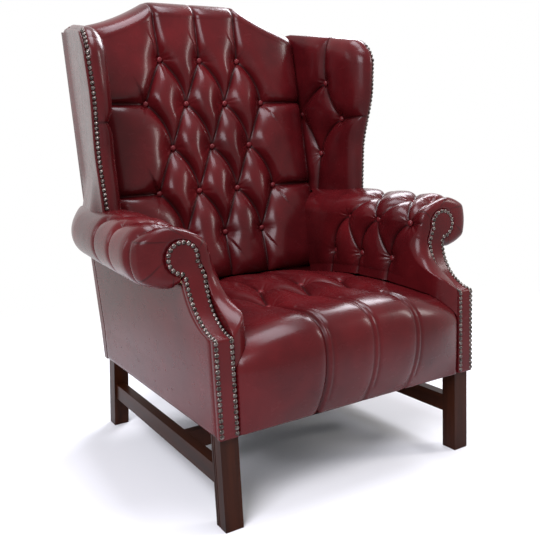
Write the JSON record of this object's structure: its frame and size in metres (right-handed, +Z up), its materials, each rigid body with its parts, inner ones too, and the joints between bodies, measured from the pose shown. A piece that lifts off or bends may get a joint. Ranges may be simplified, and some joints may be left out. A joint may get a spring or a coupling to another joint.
{
  "type": "wing chair",
  "caption": "High-backed wing armchair in deep-buttoned leather, with rolled arms, nailed scroll facings, a sprung seat that rolls over the front, and square wooden legs joined by stretchers.",
  "frame": {"origin": "middle of the chair's width and depth, on the floor", "axes": "+Z is up, +Y runs from the front of the seat to the back, +X is to the right for someone who looks at the chair's front; left and right in the nodes' names are as seen from the front"},
  "size_m": [0.8738, 0.8307, 1.1526],
  "materials": {
    "mahogany": "dark stained and satin polished",
    "beech": "bare planed",
    "leather": "glossy, hand-rubbed oxblood",
    "button_leather": "glossy, hand-rubbed oxblood",
    "nails": "antique bronze",
    "steel": "bright drawn",
    "jute": "coarse plain weave",
    "felt": "needled felt",
    "cambric": "thin black lining cloth"
  },
  "bodies": {
    "root": {"front_leg_left": "mahogany", "front_leg_right": "mahogany", "rear_leg_left": "mahogany", "rear_leg_right": "mahogany", "side_stretcher_left": "mahogany", "side_stretcher_right": "mahogany", "cross_stretcher": "mahogany", "front_seat_rail": "beech", "rear_seat_rail": "beech", "side_seat_rail_left": "beech", "side_seat_rail_right": "beech", "back_post_left": "beech", "back_post_right": "beech", "arm_stump_left": "beech", "arm_stump_right": "beech", "arm_rail_left": "beech", "arm_rail_right": "beech", "wing_stile_left": "beech", "wing_stile_right": "beech", "wing_top_rail_left": "beech", "wing_top_rail_right": "beech", "corner_block_front_left": "beech", "corner_block_front_right": "beech", "corner_block_rear_left": "beech", "corner_block_rear_right": "beech", "crest_rail": "beech", "lower_back_rail": "beech", "corner_block_screws": "steel", "seat_springs": "steel", "spring_clips": "steel", "seat_hessian": "jute", "back_webbing": "jute", "seat_padding": "felt", "back_padding": "felt", "dust_cover": "cambric", "seat_cover": "leather", "back_cover": "leather", "outside_back": "leather", "post_pads": "leather", "arm_cover_left": "leather", "arm_cover_right": "leather", "outside_arm_left": "leather", "outside_arm_right": "leather", "arm_facing_left": "leather", "arm_facing_right": "leather", "wing_cover_left": "leather", "wing_cover_right": "leather", "outside_wing_left": "leather", "outside_wing_right": "leather", "seat_buttons": "button_leather", "back_buttons": "button_leather", "arm_buttons_left": "button_leather", "arm_buttons_right": "button_leather", "wing_buttons_left": "button_leather", "wing_buttons_right": "button_leather", "facing_nails_left": "nails", "facing_nails_right": "nails", "wing_nails_left": "nails", "wing_nails_right": "nails"}
  },
  "joints": []
}
